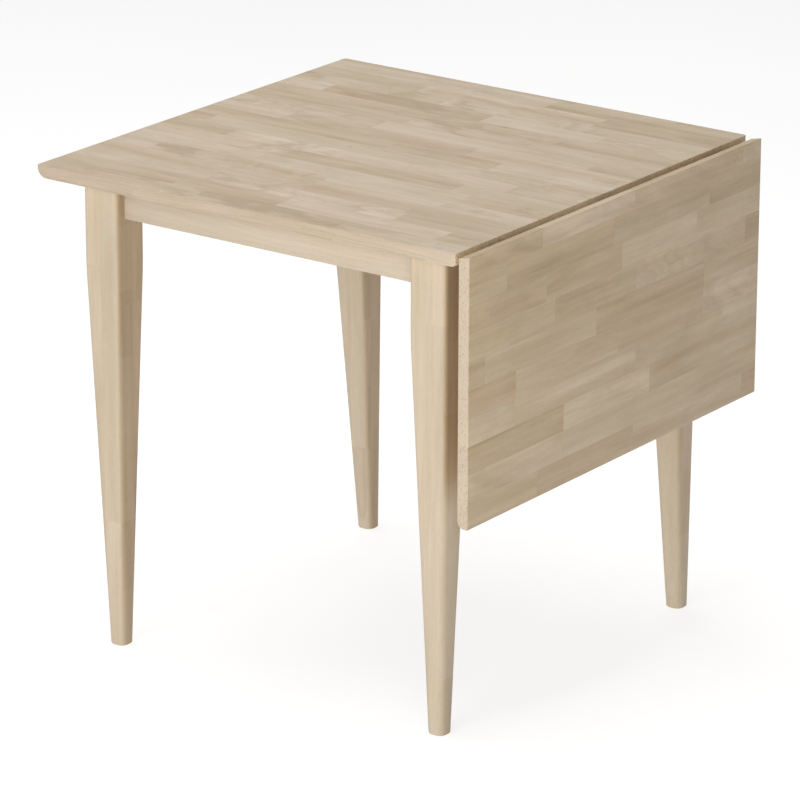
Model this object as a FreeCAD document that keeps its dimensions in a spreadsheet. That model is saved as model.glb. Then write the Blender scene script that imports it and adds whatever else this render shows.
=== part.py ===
import FreeCAD, Part
import math
import os
import re
from FreeCAD import Vector as V, Placement, Rotation

# Drop-leaf folding table.
# Frame: origin on the floor under the centre of the bounding box, +X towards
# the drop leaf, +Y to the back, +Z up.  Millimetres.

os.makedirs("parts", exist_ok=True)
doc = FreeCAD.newDocument("drop_leaf_table")

# ---------------------------------------------------------------- dimensions
DIMS = [
    ("table_height", 750.0, "floor to top surface"),
    ("top_width", 750.0, "main top along X"),
    ("top_depth", 755.0, "main top and leaf along Y"),
    ("top_thick", 20.0, "main top thickness"),
    ("top_round", 16.0, "quarter round under the top's free edge"),
    ("leaf_round", 12.0, "quarter round on the underside of the leaf's free edge"),
    ("hinge_round", 6.0, "round under the hinge edge"),
    ("end_round", 5.0, "round under the front and back edges and at the corners"),
    ("edge_ease", 0.8, "eased top edges"),
    ("leaf_thick", 18.0, "drop leaf thickness"),
    ("leaf_width", 400.0, "drop leaf across the staves"),
    ("leaf_reach", 26.0, "hinge edge of the top to the outer face of the hanging leaf"),
    ("leaf_low", 0.5, "hanging leaf's edge below the top surface"),
    ("leaf_bevel", 4.0, "under-bevel of the leaf's hinge edge"),
    ("axis_out", 13.25, "hinge axis outside the top's edge"),
    ("axis_drop", 12.75, "hinge axis below the top surface"),
    ("leg_size", 64.0, "leg square at the top"),
    ("leg_corner", 8.0, "leg corner radius at the top"),
    ("leg_inset", 47.5, "leg outer face in from the top's edge"),
    ("foot_size", 29.0, "foot across"),
    ("foot_corner", 11.5, "foot corner radius"),
    ("foot_shift_x", 14.0, "foot centre against leg centre, towards the leaf"),
    ("foot_shift_y", 15.6, "foot centre against leg centre, outwards"),
    ("taper_start", 604.0, "where the bend to the taper begins"),
    ("taper_bend", 580.0, "where the straight taper begins"),
    ("taper_top", 592.0, "height at which the taper line meets the square"),
    ("foot_round", 2.5, "round at the foot's lower edge"),
    ("apron_height", 60.0, "apron height"),
    ("apron_thick", 22.0, "apron thickness"),
    ("apron_recess", 18.0, "apron face behind the leg's face"),
    ("apron_round", 3.0, "apron lower edge radius"),
    ("dowel_rad", 4.0, "locating dowel radius"),
    ("dowel_length", 30.0, "locating dowel length"),
    ("dowel_level", 688.0, "locating dowel height"),
    ("block_gap", 4.0, "leg corner to block"),
    ("block_thick", 28.0, "corner block along the diagonal"),
    ("block_height", 45.0, "corner block height"),
    ("block_base", 680.0, "corner block underside"),
    ("bolt_rad", 4.0, "hanger bolt radius"),
    ("bolt_level", 702.5, "hanger bolt height"),
    ("bolt_deep", 36.0, "hanger bolt inside the leg"),
    ("bolt_proud", 13.0, "hanger bolt past the block"),
    ("washer_rad", 8.5, "washer radius"),
    ("washer_thick", 1.6, "washer thickness"),
    ("nut_flats", 13.0, "nut across flats"),
    ("nut_thick", 6.5, "nut thickness"),
    ("fit_gap", 0.05, "radial clearance of pins, screws and dowels"),
    ("screw_rad", 2.0, "wood screw shank radius"),
    ("head_rad", 3.8, "pan head radius"),
    ("head_thick", 2.2, "pan head height"),
    ("plate_thick", 2.0, "hinge and bracket plate thickness"),
    ("hinge_width", 48.0, "hinge width along the edge"),
    ("hinge_spread", 285.0, "outer hinges from the middle"),
    ("knuckle_rad", 4.6, "hinge knuckle radius"),
    ("pin_rad", 2.3, "hinge pin radius"),
    ("mid_knuckle", 20.0, "middle knuckle length"),
    ("knuckle_gap", 0.3, "gap between knuckles"),
    ("neck_thick", 2.5, "neck that carries the knuckle"),
    ("mortise_top", 5.0, "knuckle mortise above the axis"),
    ("mortise_low", 9.9, "knuckle mortise below the axis"),
    ("mortise_deep", 10.25, "knuckle mortise from the leaf's underside"),
    ("stay_spread", 170.0, "stays from the middle"),
    ("stay_in", 17.5, "stay pivot inside the hinge axis"),
    ("stay_down", 72.0, "stay pivot below the hinge axis"),
    ("stay_length", 185.0, "stay arm between centres"),
    ("stay_width", 18.0, "stay arm width"),
    ("stay_thick", 3.0, "stay plate thickness"),
    ("stay_gap", 0.4, "gap between stay plates"),
    ("rivet_rad", 4.0, "stay rivet radius"),
    ("rivet_head", 6.8, "stay rivet head radius"),
    ("rivet_head_thick", 2.0, "stay rivet head thickness"),
    ("slot_gap", 0.3, "clearance of the slide pin in its slot"),
    ("flange_thick", 2.5, "flange of the stay plates"),
    ("flange_width", 26.0, "width of those flanges"),
    ("flange_line", 16.4, "stay's middle plane to its flange screws"),
    ("block_screw", 72.0, "block screw from where the apron faces would meet"),
    ("block_seat", 12.0, "block screw head from the apron's face"),
    ("hinge_inner", 52.0, "hinge plates from the axis, far end"),
    ("hinge_outer", 15.0, "top plate from the axis, near end"),
    ("leaf_plate_near", 11.0, "leaf plate from the axis, near end"),
    ("guide_height", 46.0, "guide plate from the hinge axis plane"),
    ("bracket_width", 20.0, "top bracket width"),
    ("bracket_leg", 30.0, "top bracket leg length"),
]
sheet = doc.addObject("Spreadsheet::Sheet", "dims")
D = {}
for i, (alias, value, note) in enumerate(DIMS, start=1):
    sheet.set("A%d" % i, note)
    sheet.set("B%d" % i, "%g" % value)
    sheet.setAlias("B%d" % i, alias)
    D[alias] = value
doc.recompute()

WORD = re.compile(r"[A-Za-z_][A-Za-z0-9_]*")


def cell(expr):
    """Turn the sheet's words in an expression into references to its cells."""
    return WORD.sub(lambda m: "dims." + m.group(0) if m.group(0) in D else m.group(0), str(expr))


def bind(obj, prop, expr):
    obj.setExpression(prop, cell(expr))


def at(obj, x, y, z):
    bind(obj, "Placement.Base.x", x)
    bind(obj, "Placement.Base.y", y)
    bind(obj, "Placement.Base.z", z)


TURN = {
    "z": Rotation(), "-z": Rotation(V(1, 0, 0), 180),
    "x": Rotation(V(0, 1, 0), 90), "-x": Rotation(V(0, 1, 0), -90),
    "y": Rotation(V(1, 0, 0), -90), "-y": Rotation(V(1, 0, 0), 90),
}


def box(name, length, width, height, x, y, z):
    o = doc.addObject("Part::Box", name)
    bind(o, "Length", length)
    bind(o, "Width", width)
    bind(o, "Height", height)
    at(o, x, y, z)
    return o


def cyl(name, rad, height, x, y, z, axis="z"):
    o = doc.addObject("Part::Cylinder", name)
    bind(o, "Radius", rad)
    bind(o, "Height", height)
    o.Placement = Placement(V(0, 0, 0), TURN[axis] if isinstance(axis, str) else axis)
    at(o, x, y, z)
    return o


def fuse(name, shapes):
    o = doc.addObject("Part::MultiFuse", name)
    o.Shapes = shapes
    o.Refine = True
    return o


def cut(name, base, tools):
    o = doc.addObject("Part::Cut", name)
    o.Base = base
    o.Tool = tools[0] if len(tools) == 1 else fuse(name + "_tools", tools)
    o.Refine = True
    return o


NODES = []


def node(obj, label):
    obj.Label = label
    NODES.append(obj)
    return obj


def plane(body, role):
    for f in body.Origin.OriginFeatures:
        if f.Role == role:
            return f
    raise RuntimeError(role)


def sketch(body, name, role, offset=None):
    s = body.newObject("Sketcher::SketchObject", name)
    s.AttachmentSupport = (plane(body, role), [""])
    s.MapMode = "FlatFace"
    if offset is not None:
        bind(s, "AttachmentOffset.Base.z", offset)
    return s


def symmetric_pad(body, name, prof, length):
    p = body.newObject("PartDesign::Pad", name)
    p.Profile = prof
    bind(p, "Length", length)
    if hasattr(p, "SideType"):
        p.SideType = "Symmetric"
    else:
        p.Midplane = True
    prof.Visibility = False
    return p


def edges_where(shape, test):
    return ["Edge%d" % (i + 1) for i, e in enumerate(shape.Edges) if test(e)]


def fillet(body, name, base, names, rad):
    f = body.newObject("PartDesign::Fillet", name)
    f.Base = (base, names)
    bind(f, "Radius", rad)
    return f


def pocket(body, name, prof, depth):
    """Cut a profile into the body, and turn the direction if it cut nothing."""
    before = body.Shape.Volume
    p = body.newObject("PartDesign::Pocket", name)
    p.Profile = prof
    bind(p, "Length", depth)
    doc.recompute()
    if body.Shape.Volume > before - 1.0:
        p.Reversed = True
        doc.recompute()
    if body.Shape.Volume > before - 1.0:
        raise RuntimeError("nothing cut by " + name)
    return p


# Named places, written in the sheet's words and as numbers.
X_EDGE = "((top_width-leaf_reach)/2)"
X_AXIS = "((top_width-leaf_reach)/2+axis_out)"
Z_AXIS = "(table_height-axis_drop)"
Z_UNDER = "(table_height-top_thick)"
xe = (D["top_width"] - D["leaf_reach"]) / 2
xl = -(D["top_width"] + D["leaf_reach"]) / 2
xa = xe + D["axis_out"]
za = D["table_height"] - D["axis_drop"]
zu = D["table_height"] - D["top_thick"]
half_y = D["top_depth"] / 2
xi = xe + D["leaf_reach"] - D["leaf_thick"]          # leaf's inner face, hanging
xo = xe + D["leaf_reach"]                            # leaf's outer face, hanging
X_INNER = "((top_width-leaf_reach)/2+leaf_reach-leaf_thick)"


def corner(s, kind, a, pa, b, pb):
    import Sketcher
    s.addConstraint(Sketcher.Constraint(kind, a, pa, b, pb))


def named(s, label, con, expr):
    i = s.addConstraint(con)
    s.renameConstraint(i, label)
    s.setExpression("Constraints." + label, cell(expr))


# ------------------------------------------------------------------ the top
# The section across the hinge edge is one profile with a quarter round under
# the free edge and a smaller round under the hinge edge, padded over the depth.
import Sketcher

top = doc.addObject("PartDesign::Body", "TopBody")
s = sketch(top, "TopProfile", "XZ_Plane")
r1, r2, zt = D["top_round"], D["hinge_round"], D["table_height"]
s.addGeometry(Part.LineSegment(V(xl, zt, 0), V(xe, zt, 0)))
s.addGeometry(Part.LineSegment(V(xe, zt, 0), V(xe, zu + r2, 0)))
s.addGeometry(Part.ArcOfCircle(Part.Circle(V(xe - r2, zu + r2, 0), V(0, 0, 1), r2), -math.pi / 2, 0))
s.addGeometry(Part.LineSegment(V(xe - r2, zu, 0), V(xl + r1, zu, 0)))
s.addGeometry(Part.ArcOfCircle(Part.Circle(V(xl + r1, zu + r1, 0), V(0, 0, 1), r1), math.pi, 1.5 * math.pi))
s.addGeometry(Part.LineSegment(V(xl, zu + r1, 0), V(xl, zt, 0)))
corner(s, "Coincident", 0, 2, 1, 1)
corner(s, "Tangent", 1, 2, 2, 2)
corner(s, "Tangent", 2, 1, 3, 1)
corner(s, "Tangent", 3, 2, 4, 2)
corner(s, "Tangent", 4, 1, 5, 1)
corner(s, "Coincident", 5, 2, 0, 1)
s.addConstraint(Sketcher.Constraint("Horizontal", 0))
s.addConstraint(Sketcher.Constraint("Vertical", 1))
s.addConstraint(Sketcher.Constraint("Horizontal", 3))
s.addConstraint(Sketcher.Constraint("Vertical", 5))
named(s, "hinge_r", Sketcher.Constraint("Radius", 2, r2), "hinge_round")
named(s, "free_r", Sketcher.Constraint("Radius", 4, r1), "top_round")
named(s, "level", Sketcher.Constraint("DistanceY", -1, 1, 0, 1, zt), "table_height")
named(s, "right", Sketcher.Constraint("DistanceX", -1, 1, 0, 2, xe), X_EDGE)
named(s, "wide", Sketcher.Constraint("DistanceX", 0, 1, 0, 2, xe - xl), "top_width")
named(s, "thick", Sketcher.Constraint("DistanceY", 3, 1, 0, 2, zt - zu), "top_thick")
pad = symmetric_pad(top, "TopPad", s, "top_depth")
doc.recompute()


def end_edge(e):
    b = e.BoundBox
    return (b.YLength < 1e-4 and abs(abs(b.YMin) - half_y) < 1e-3
            and not (b.ZMin > D["table_height"] - 1e-3))


f1 = fillet(top, "EndRound", pad, edges_where(pad.Shape, end_edge), "end_round")
doc.recompute()
f2 = fillet(top, "TopEase", f1, edges_where(
    f1.Shape, lambda e: e.BoundBox.ZMin > D["table_height"] - 1e-3), "edge_ease")
doc.recompute()
top.Tip = f2


def holes(body, name, role, offset, points, rad, depth):
    """Blind pilot holes at the given sketch points."""
    s = sketch(body, name, role, offset)
    for k, (u, w) in enumerate(points):
        g = s.addGeometry(Part.Circle(V(u, w, 0), V(0, 0, 1), 2.05))
        if k == 0:
            named(s, "hole_r", Sketcher.Constraint("Radius", g, 2.05), rad)
        else:
            s.addConstraint(Sketcher.Constraint("Equal", 0, g))
        s.addConstraint(Sketcher.Constraint("DistanceX", -1, 1, g, 3, u) if abs(u) > 1e-9 else
                        Sketcher.Constraint("PointOnObject", g, 3, -2))
        s.addConstraint(Sketcher.Constraint("DistanceY", -1, 1, g, 3, w) if abs(w) > 1e-9 else
                        Sketcher.Constraint("PointOnObject", g, 3, -1))
    doc.recompute()
    p = pocket(body, name + "Cut", s, depth)
    return p


# Leg, apron and fastener places.
L, R = D["leg_size"], D["leg_inset"]
leg_x = {"left": xl + R + L / 2, "hinge": xe - R - L / 2}
leg_y = half_y - R - L / 2
LEG_X = {"left": "(-(top_width+leaf_reach)/2+leg_inset+leg_size/2)",
         "hinge": "((top_width-leaf_reach)/2-leg_inset-leg_size/2)"}
LEG_Y = "(top_depth/2-leg_inset-leg_size/2)"
inner_y = leg_y - L / 2                                # legs' inner faces
in_l, in_h = leg_x["left"] + L / 2, leg_x["hinge"] - L / 2
ap_y = leg_y + L / 2 - D["apron_recess"]               # front and back aprons' outer face
ap_l = leg_x["left"] - L / 2 + D["apron_recess"]       # left apron's outer face
ap_h = leg_x["hinge"] + L / 2 - D["apron_recess"]      # hinge apron's outer face
at_ = D["apron_thick"]
mid_x = (in_l + in_h) / 2

bl, pt = D["bracket_leg"], D["plate_thick"]
# Top brackets: (x, y, angle); at angle 0 the upright leg stands on an apron
# whose inner face looks towards +Y.
BR = []
for dx in (-130, 130):
    BR.append((mid_x + dx, -(ap_y - at_), 0))
    BR.append((mid_x + dx, ap_y - at_, 180))
for dy in (-150, 150):
    BR.append((ap_l + at_, dy, -90))
    BR.append((ap_h - at_, dy, 90))


def br_place(b):
    return Placement(V(b[0], b[1], zu), Rotation(V(0, 0, 1), b[2]))


br_top = [br_place(b).multVec(V(0, 20, 0)) for b in BR]
br_side = [br_place(b).multVec(V(0, 0, -18)) for b in BR]
HY = (-D["hinge_spread"], 0.0, D["hinge_spread"])
HS_TOP = [(-28.0, -16.0), (-28.0, 16.0), (-46.0, 0.0)]      # along X and Y from the axis
HS_LEAF = [(-24.0, -16.0), (-24.0, 16.0), (-48.0, 0.0)]     # along Z and Y from the axis
top_points = [(p.x, p.y) for p in br_top] + [(xa + a, y + b) for y in HY for a, b in HS_TOP]
holes(top, "TopPilots", "XY_Plane", Z_UNDER, top_points, "screw_rad+fit_gap", "14.4")
node(top, "table_top")

# ----------------------------------------------------------------- the leaf
leaf = doc.addObject("PartDesign::Body", "LeafBody")
s = sketch(leaf, "LeafProfile", "XZ_Plane")
zl1 = D["table_height"] - D["leaf_low"]
zl0 = zl1 - D["leaf_width"]
r1 = D["leaf_round"]
s.addGeometry(Part.LineSegment(V(xo, zl0, 0), V(xo, zl1, 0)))
s.addGeometry(Part.LineSegment(V(xo, zl1, 0), V(xi, zl1 - D["leaf_bevel"], 0)))
s.addGeometry(Part.LineSegment(V(xi, zl1 - D["leaf_bevel"], 0), V(xi, zl0 + r1, 0)))
s.addGeometry(Part.ArcOfCircle(Part.Circle(V(xi + r1, zl0 + r1, 0), V(0, 0, 1), r1), math.pi, 1.5 * math.pi))
s.addGeometry(Part.LineSegment(V(xi + r1, zl0, 0), V(xo, zl0, 0)))
corner(s, "Coincident", 0, 2, 1, 1)
corner(s, "Coincident", 1, 2, 2, 1)
corner(s, "Tangent", 2, 2, 3, 1)
corner(s, "Tangent", 3, 2, 4, 1)
corner(s, "Coincident", 4, 2, 0, 1)
s.addConstraint(Sketcher.Constraint("Vertical", 0))
s.addConstraint(Sketcher.Constraint("Vertical", 2))
s.addConstraint(Sketcher.Constraint("Horizontal", 4))
named(s, "free_r", Sketcher.Constraint("Radius", 3, r1), "leaf_round")
named(s, "outer", Sketcher.Constraint("DistanceX", -1, 1, 0, 1, xo), "(top_width+leaf_reach)/2")
named(s, "thick", Sketcher.Constraint("DistanceX", 1, 2, 1, 1, xo - xi), "leaf_thick")
named(s, "level", Sketcher.Constraint("DistanceY", -1, 1, 0, 2, zl1), "table_height-leaf_low")
named(s, "drop", Sketcher.Constraint("DistanceY", 0, 1, 0, 2, zl1 - zl0), "leaf_width")
named(s, "bevel", Sketcher.Constraint("DistanceY", 1, 2, 1, 1, D["leaf_bevel"]), "leaf_bevel")
pad = symmetric_pad(leaf, "LeafPad", s, "top_depth")
doc.recompute()
f1 = fillet(leaf, "LeafEase", pad, edges_where(
    pad.Shape, lambda e: (abs(e.BoundBox.XMin - xo) < 1e-3 and e.BoundBox.XLength < 1e-3)
    or (e.BoundBox.YLength < 1e-3 and e.BoundBox.XMax - xi < D["leaf_thick"] + 1e-3
        and abs(abs(e.BoundBox.YMin) - half_y) < 1e-3)
    or (abs(e.BoundBox.XMax - xi) < 1e-3 and e.BoundBox.YLength > 700 and e.BoundBox.ZMin > 700)), "1.5")
doc.recompute()
leaf.Tip = f1
# Mortises for the hinge knuckles, open to the underside only.
s = sketch(leaf, "Mortises", "YZ_Plane", X_INNER)
mw = D["hinge_width"] / 2 + 0.5
m0, m1 = za - D["mortise_low"], za + D["mortise_top"]
g = 0
for k, y in enumerate(HY):
    pts = [(y - mw, m0), (y + mw, m0), (y + mw, m1), (y - mw, m1)]
    for j in range(4):
        a, b = pts[j], pts[(j + 1) % 4]
        s.addGeometry(Part.LineSegment(V(a[0], a[1], 0), V(b[0], b[1], 0)))
    for j in range(4):
        corner(s, "Coincident", g + j, 2, g + (j + 1) % 4, 1)
        s.addConstraint(Sketcher.Constraint("Horizontal" if j % 2 == 0 else "Vertical", g + j))
    named(s, "low%d" % k, Sketcher.Constraint("DistanceY", -1, 1, g, 1, m0),
          "table_height-axis_drop-mortise_low")
    named(s, "high%d" % k, Sketcher.Constraint("DistanceY", g, 1, g + 2, 1, m1 - m0),
          "mortise_low+mortise_top")
    named(s, "wide%d" % k, Sketcher.Constraint("DistanceX", g, 1, g, 2, 2 * mw), "hinge_width+1")
    named(s, "left%d" % k, Sketcher.Constraint("DistanceX", g, 1, -1, 1, -(y - mw)),
          "%d*hinge_spread+hinge_width/2+0.5" % (1 - k))
    g += 4
doc.recompute()
pocket(leaf, "MortiseCut", s, "mortise_deep")

# Stay geometry.  The arm's slide pin runs along a slot in the guide; the arm
# turns faster than the leaf by a constant ratio, and the slot is cut along the
# path that this ratio gives in the leaf's own frame.
c_, d_, l_ = D["stay_in"], D["stay_down"], D["stay_length"]
beta = math.asin((d_ - c_) / l_)
ratio = 1 + beta / (math.pi / 2)


def path(th):
    """Slide pin in the leaf's frame: along the leaf, and towards its underside."""
    u = -c_ * math.sin(th) + d_ * math.cos(th) + l_ * math.cos((ratio - 1) * th)
    n = c_ * math.cos(th) + d_ * math.sin(th) - l_ * math.sin((ratio - 1) * th)
    return u, n


u0, u1 = path(math.pi / 2)[0], path(0)[0]
SY = (-D["stay_spread"], D["stay_spread"])
G_SCREW = [u0 + 2, (u0 + u1) / 2, u1 - 2]                  # along the leaf from the axis
B_SCREW = [707.0, 683.0]                                   # bracket flange screws, heights
leaf_points = [(y + b, za + a) for y in HY for a, b in HS_LEAF]
for y in SY:
    sy = 1 if y > 0 else -1
    leaf_points += [(y - sy * D["flange_line"], za - u) for u in G_SCREW]
holes(leaf, "LeafPilots", "YZ_Plane", X_INNER, leaf_points, "screw_rad+fit_gap", "12.4")
node(leaf, "drop_leaf")


# ----------------------------------------------------------------- the legs
def rounded_square(body, name, level, cx, cy, size, rad, cxe, cye, sizee, rade):
    """A square with round corners, its centre, size and radius bound to the sheet."""
    s = sketch(body, name, "XY_Plane", level)
    h_ = size / 2
    x0, x1, y0, y1 = cx - h_, cx + h_, cy - h_, cy + h_
    q = rad
    s.addGeometry(Part.LineSegment(V(x0 + q, y0, 0), V(x1 - q, y0, 0)))
    s.addGeometry(Part.ArcOfCircle(Part.Circle(V(x1 - q, y0 + q, 0), V(0, 0, 1), q), -math.pi / 2, 0))
    s.addGeometry(Part.LineSegment(V(x1, y0 + q, 0), V(x1, y1 - q, 0)))
    s.addGeometry(Part.ArcOfCircle(Part.Circle(V(x1 - q, y1 - q, 0), V(0, 0, 1), q), 0, math.pi / 2))
    s.addGeometry(Part.LineSegment(V(x1 - q, y1, 0), V(x0 + q, y1, 0)))
    s.addGeometry(Part.ArcOfCircle(Part.Circle(V(x0 + q, y1 - q, 0), V(0, 0, 1), q), math.pi / 2, math.pi))
    s.addGeometry(Part.LineSegment(V(x0, y1 - q, 0), V(x0, y0 + q, 0)))
    s.addGeometry(Part.ArcOfCircle(Part.Circle(V(x0 + q, y0 + q, 0), V(0, 0, 1), q), math.pi, 1.5 * math.pi))
    for j in range(8):
        corner(s, "Tangent", j, 2, (j + 1) % 8, 1)
    for j in (0, 4):
        s.addConstraint(Sketcher.Constraint("Horizontal", j))
    for j in (2, 6):
        s.addConstraint(Sketcher.Constraint("Vertical", j))
    for j in (3, 5, 7):
        s.addConstraint(Sketcher.Constraint("Equal", 1, j))
    named(s, "corner_r", Sketcher.Constraint("Radius", 1, q), rade)
    named(s, "wide", Sketcher.Constraint("DistanceX", 6, 1, 2, 1, size), sizee)
    named(s, "deep", Sketcher.Constraint("DistanceY", 0, 1, 4, 1, size), sizee)
    named(s, "px", Sketcher.Constraint("DistanceX", -1, 1, 2, 1, x1), "%s+(%s)/2" % (cxe, sizee))
    named(s, "py", Sketcher.Constraint("DistanceY", -1, 1, 4, 1, y1), "%s+(%s)/2" % (cye, sizee))
    return s


dl, dr = D["dowel_length"], D["dowel_level"]
bolt_z = D["bolt_level"]
for side in ("left", "hinge"):
    for end, sy in (("front", -1), ("back", 1)):
        name = "Leg_%s_%s" % (end, side)
        sx = -1 if side == "left" else 1
        body = doc.addObject("PartDesign::Body", name)
        cx, cy = leg_x[side], sy * leg_y
        cxe, cye = LEG_X[side], "(%d*%s)" % (sy, LEG_Y)
        k = (D["taper_top"] - D["taper_bend"]) / D["taper_top"]
        ke = "((taper_top-taper_bend)/taper_top)"
        s0 = rounded_square(body, name + "_square", "taper_start", cx, cy, L, D["leg_corner"],
                            cxe, cye, "leg_size", "leg_corner")
        pad = body.newObject("PartDesign::Pad", name + "_post")
        pad.Profile = s0
        bind(pad, "Length", "table_height-top_thick-taper_start")
        doc.recompute()
        s1 = rounded_square(body, name + "_bend", "taper_bend", cx + k * D["foot_shift_x"],
                            cy + sy * k * D["foot_shift_y"], L - k * (L - D["foot_size"]),
                            D["leg_corner"] + k * (D["foot_corner"] - D["leg_corner"]),
                            "(%s+%s*foot_shift_x)" % (cxe, ke),
                            "(%s+%d*%s*foot_shift_y)" % (cye, sy, ke),
                            "(leg_size-%s*(leg_size-foot_size))" % ke,
                            "(leg_corner+%s*(foot_corner-leg_corner))" % ke)
        s2 = rounded_square(body, name + "_foot", "0", cx + D["foot_shift_x"],
                            cy + sy * D["foot_shift_y"], D["foot_size"], D["foot_corner"],
                            "(%s+foot_shift_x)" % cxe, "(%s+%d*foot_shift_y)" % (cye, sy),
                            "foot_size", "foot_corner")
        loft = body.newObject("PartDesign::AdditiveLoft", name + "_taper")
        loft.Profile = s0
        loft.Sections = [s1, s2]
        loft.Ruled = True
        doc.recompute()
        fl = fillet(body, name + "_toe", loft, edges_where(
            loft.Shape, lambda e: e.BoundBox.ZMax < 1e-3), "foot_round")
        doc.recompute()
        body.Tip = fl
        # Bores: one dowel from each apron, and the hanger bolt on the diagonal.
        IX = "(%s-%d*leg_size/2)" % (cxe, sx)
        IY = "(%s-%d*leg_size/2)" % (cye, sy)
        AY = "(%d*(top_depth/2-leg_inset-apron_recess-apron_thick/2))" % sy
        AXX = "(%s+%d*(leg_size/2-apron_recess-apron_thick/2))" % (cxe, sx)
        t1 = cyl(name + "_dx", "dowel_rad+fit_gap", "dowel_length/2+0.5+1", "%s-%d" % (IX, sx), AY,
                 "dowel_level", "x" if sx > 0 else "-x")
        t2 = cyl(name + "_dy", "dowel_rad+fit_gap", "dowel_length/2+0.5+1", AXX, "%s-%d" % (IY, sy),
                 "dowel_level", "y" if sy > 0 else "-y")
        diag = Rotation(V(0, 0, 1), V(sx, sy, 0))
        t3 = cyl(name + "_bolt", "bolt_rad+fit_gap", "bolt_deep+6.5", "%s-%d*6/sqrt(2)" % (IX, sx),
                 "%s-%d*6/sqrt(2)" % (IY, sy), "bolt_level", diag)
        node(cut(name + "_bored", body, [t1, t2, t3]), "leg_%s_%s" % (end, side))
doc.recompute()

# --------------------------------------------------------------- the aprons
AP = {
    "apron_front": ("x", -1), "apron_back": ("x", 1), "apron_left": ("y", -1), "apron_hinge": ("y", 1),
}
GX = "(top_width-2*leg_inset-2*leg_size)"
GY = "(top_depth-2*leg_inset-2*leg_size)"
XIL = "(-(top_width+leaf_reach)/2+leg_inset+leg_size)"
YOUT = "(top_depth/2-leg_inset-apron_recess)"
XOUTL = "(-(top_width+leaf_reach)/2+leg_inset+apron_recess)"
XOUTH = "((top_width-leaf_reach)/2-leg_inset-apron_recess)"
s2_ = math.sqrt(2)
bg, bt = D["block_gap"], D["block_thick"]
QO = leg_y + L / 2 - D["apron_recess"] - at_           # front and back aprons' inner face
for name, (ax, sg) in AP.items():
    if ax == "x":
        y = "(%s)" % ("-" + YOUT if sg < 0 else YOUT + "-apron_thick")
        b = box(name + "_board", GX, "apron_thick", "apron_height", XIL, y,
                "table_height-top_thick-apron_height")
    else:
        x = XOUTL if sg < 0 else "(%s-apron_thick)" % XOUTH
        b = box(name + "_board", "apron_thick", GY, "apron_height", x, "(-%s/2)" % GY,
                "table_height-top_thick-apron_height")
    doc.recompute()
    low = zu - D["apron_height"]
    f = doc.addObject("Part::Fillet", name + "_eased")
    f.Base = b
    f.Edges = [(i + 1, D["apron_round"], D["apron_round"]) for i, e in enumerate(b.Shape.Edges)
               if e.BoundBox.ZMax < low + 1e-3 and
               (e.BoundBox.XLength if ax == "x" else e.BoundBox.YLength) > 100]
    tools = []
    if ax == "x":
        ym = "(%d*(%s-apron_thick/2))" % (sg, YOUT)
        tools.append(cyl(name + "_d1", "dowel_rad+fit_gap", "dowel_length/2+1.5", XIL + "-1", ym,
                         "dowel_level", "x"))
        tools.append(cyl(name + "_d2", "dowel_rad+fit_gap", "dowel_length/2+1.5", "%s+%s+1" % (XIL, GX),
                         ym, "dowel_level", "-x"))
        face = sg * (ap_y - at_)
        for k, xe_ in enumerate((XOUTL + "+apron_thick+block_screw", XOUTH + "-apron_thick-block_screw")):
            tools.append(cyl(name + "_b%d" % k, "screw_rad+fit_gap", "18", xe_,
                             "%.4f" % (face - sg * 1.0), "bolt_level", "y" if sg > 0 else "-y"))
        for b_, p in zip(BR, br_side):
            if abs(p.y - face) < 1e-6:
                tools.append(cyl(name + "_s%d" % BR.index(b_), "screw_rad+fit_gap", "15.4",
                                 "%.4f" % p.x, "%.4f" % (face - sg * 1.0), "%.4f" % p.z,
                                 "y" if sg > 0 else "-y"))
    else:
        xm = "(%s%sapron_thick/2)" % (XOUTL if sg < 0 else XOUTH, "+" if sg < 0 else "-")
        for k, (yy, axn) in enumerate((("(-%s/2-1)" % GY, "y"), ("(%s/2+1)" % GY, "-y"))):
            tools.append(cyl(name + "_d%d" % k, "dowel_rad+fit_gap", "dowel_length/2+1.5", xm, yy,
                             "dowel_level", axn))
        face = ap_l + at_ if sg < 0 else ap_h - at_
        for k, s_ in enumerate((-1, 1)):
            tools.append(cyl(name + "_b%d" % k, "screw_rad+fit_gap", "18", "%.4f" % (face - sg * 1.0),
                             "%d*(%s-apron_thick-block_screw)" % (s_, YOUT), "bolt_level",
                             "x" if sg > 0 else "-x"))
        for b_, p in zip(BR, br_side):
            if abs(p.x - face) < 1e-6:
                tools.append(cyl(name + "_s%d" % BR.index(b_), "screw_rad+fit_gap", "15.4",
                                 "%.4f" % (face - sg * 1.0), "%.4f" % p.y, "%.4f" % p.z,
                                 "x" if sg > 0 else "-x"))
        if sg > 0:
            for y in SY:
                sy = 1 if y > 0 else -1
                for h_ in B_SCREW:
                    tools.append(cyl("%s_f%d_%d" % (name, sy, int(h_)), "screw_rad+fit_gap", "14.9",
                                     XOUTH + "+1", "%d*(stay_spread+flange_line)" % sy,
                                     "%g" % h_, "-x"))
    node(cut(name + "_bored", f, tools), name)
doc.recompute()

# ------------------------------------------------------------ corner blocks
def poly_sketch(body, name, role, offset, pts):
    """A closed polygon whose corners are bound one by one: (number, words) pairs."""
    s = sketch(body, name, role, offset)
    n = len(pts)
    for j in range(n):
        a, b = pts[j], pts[(j + 1) % n]
        s.addGeometry(Part.LineSegment(V(a[0][0], a[1][0], 0), V(b[0][0], b[1][0], 0)))
    for j in range(n):
        corner(s, "Coincident", j, 2, (j + 1) % n, 1)
    for j, ((x, xw), (y, yw)) in enumerate(pts):
        named(s, "across%d" % j, Sketcher.Constraint("DistanceX", -1, 1, j, 1, x), xw)
        named(s, "along%d" % j, Sketcher.Constraint("DistanceY", -1, 1, j, 1, y), yw)
    return s


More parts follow.
